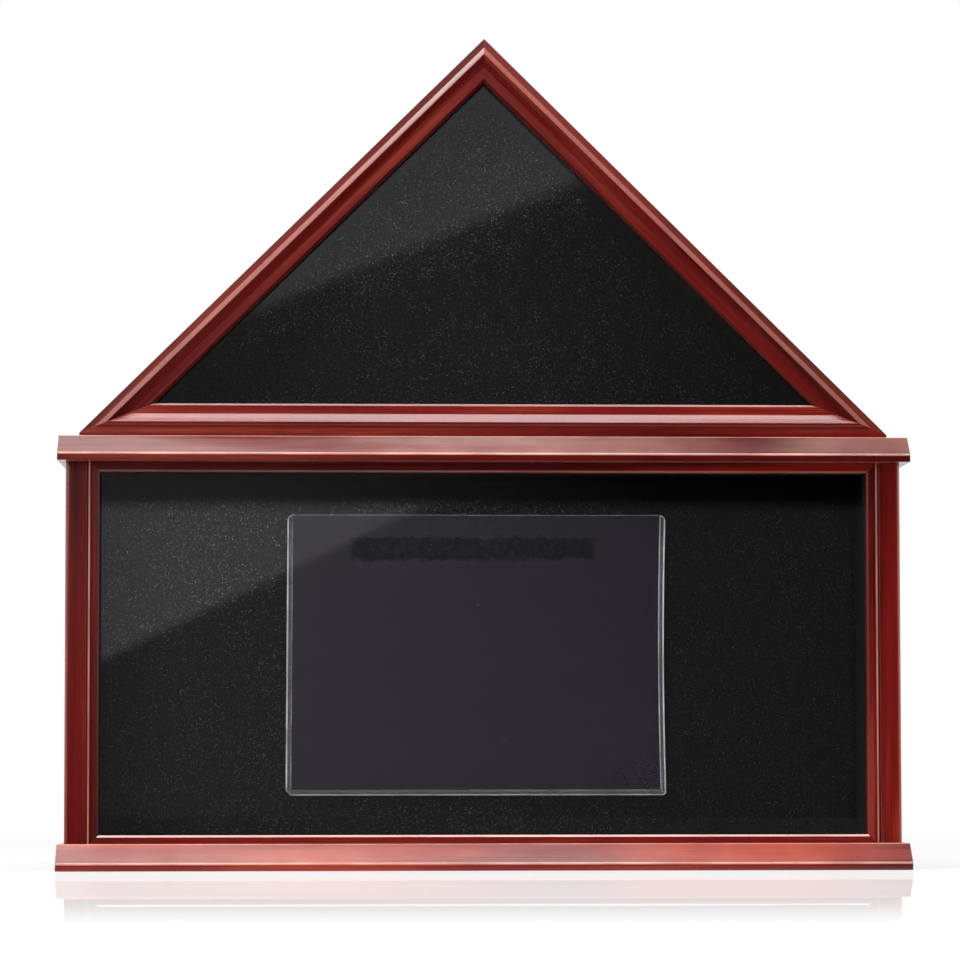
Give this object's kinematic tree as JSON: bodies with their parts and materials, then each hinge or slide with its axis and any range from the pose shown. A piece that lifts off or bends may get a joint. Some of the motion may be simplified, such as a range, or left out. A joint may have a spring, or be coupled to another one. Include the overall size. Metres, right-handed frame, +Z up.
{
  "type": "folded flag display case",
  "caption": "Free-standing folded flag display case: triangular glazed case over a glazed certificate base, black felt inside, clear document sleeve, lift-out backs held by turn buttons.",
  "frame": {"origin": "centre of the underside of the plinth, below the middle of the whole case with its hardware", "axes": "+X to the right seen from the front, +Y from the front to the back, +Z up to the apex"},
  "size_m": [0.65, 0.116, 0.64],
  "materials": {
    "mahogany": "dark red mahogany stain under gloss lacquer",
    "clear_acrylic": "clear glossy sheet",
    "black_felt": "black felt with light flecks",
    "hardboard": "raw brown hardboard",
    "clear_vinyl": "clear soft film with welded edges",
    "hook_tape": "black hook tape",
    "zinc_steel": "bright zinc plated steel",
    "dowel_beech": "plain beech"
  },
  "bodies": {
    "case": {"plinth_board": "mahogany", "cornice_board": "mahogany", "left_post": "mahogany", "right_post": "mahogany", "inner_frame_bottom": "mahogany", "inner_frame_right": "mahogany", "inner_frame_top": "mahogany", "inner_frame_left": "mahogany", "flag_board_bottom": "mahogany", "flag_board_right": "mahogany", "flag_board_left": "mahogany", "flag_moulding_bottom": "mahogany", "flag_moulding_right": "mahogany", "flag_moulding_left": "mahogany", "certificate_pane": "clear_acrylic", "flag_pane": "clear_acrylic", "certificate_lining_bottom": "black_felt", "certificate_lining_right": "black_felt", "certificate_lining_top": "black_felt", "certificate_lining_left": "black_felt", "flag_lining_bottom": "black_felt", "flag_lining_right": "black_felt", "flag_lining_left": "black_felt", "certificate_pivot_screws": "zinc_steel", "flag_pivot_screws": "zinc_steel", "plinth_screws": "zinc_steel", "flag_case_screws": "zinc_steel", "cornice_dowels": "dowel_beech"},
    "certificate_back": {"certificate_back_panel": "hardboard", "certificate_back_felt": "black_felt", "hook_tape": "hook_tape", "sleeve_back_film": "clear_vinyl", "sleeve_seam": "clear_vinyl", "sleeve_front_film": "clear_vinyl"},
    "flag_back": {"flag_back_panel": "hardboard", "flag_back_felt": "black_felt"},
    "post_button_left": {"post_button_left": "zinc_steel"},
    "post_button_right": {"post_button_right": "zinc_steel"},
    "cornice_button_left": {"cornice_button_left": "zinc_steel"},
    "cornice_button_right": {"cornice_button_right": "zinc_steel"},
    "flag_button_left": {"flag_button_left": "zinc_steel"},
    "flag_button_right": {"flag_button_right": "zinc_steel"},
    "flag_button_bottom": {"flag_button_bottom": "zinc_steel"}
  },
  "joints": [
    {"name": "certificate_back_slide", "type": "slide", "parent": "case", "child": "certificate_back", "axis": [0, 1, 0], "range_m": [0, 0.15]},
    {"name": "flag_back_slide", "type": "slide", "parent": "case", "child": "flag_back", "axis": [0, 1, 0], "range_m": [0, 0.15]},
    {"name": "post_button_left_turn", "type": "hinge", "parent": "case", "child": "post_button_left", "pos_m": [-0.31475, 0.05505, 0.0902], "axis": [0, 1, 0], "continuous": true},
    {"name": "post_button_right_turn", "type": "hinge", "parent": "case", "child": "post_button_right", "pos_m": [0.31475, 0.05505, 0.0902], "axis": [0, 1, 0], "continuous": true},
    {"name": "cornice_button_left_turn", "type": "hinge", "parent": "case", "child": "cornice_button_left", "pos_m": [-0.19, 0.05505, 0.3253], "axis": [0, 1, 0], "continuous": true},
    {"name": "cornice_button_right_turn", "type": "hinge", "parent": "case", "child": "cornice_button_right", "pos_m": [0.19, 0.05505, 0.3253], "axis": [0, 1, 0], "continuous": true},
    {"name": "flag_button_left_turn", "type": "hinge", "parent": "case", "child": "flag_button_left", "pos_m": [-0.1483, 0.05505, 0.48579], "axis": [0, 1, 0], "continuous": true},
    {"name": "flag_button_right_turn", "type": "hinge", "parent": "case", "child": "flag_button_right", "pos_m": [0.1483, 0.05505, 0.48579], "axis": [0, 1, 0], "continuous": true},
    {"name": "flag_button_bottom_turn", "type": "hinge", "parent": "case", "child": "flag_button_bottom", "pos_m": [0, 0.05505, 0.3393], "axis": [0, 1, 0], "continuous": true}
  ]
}
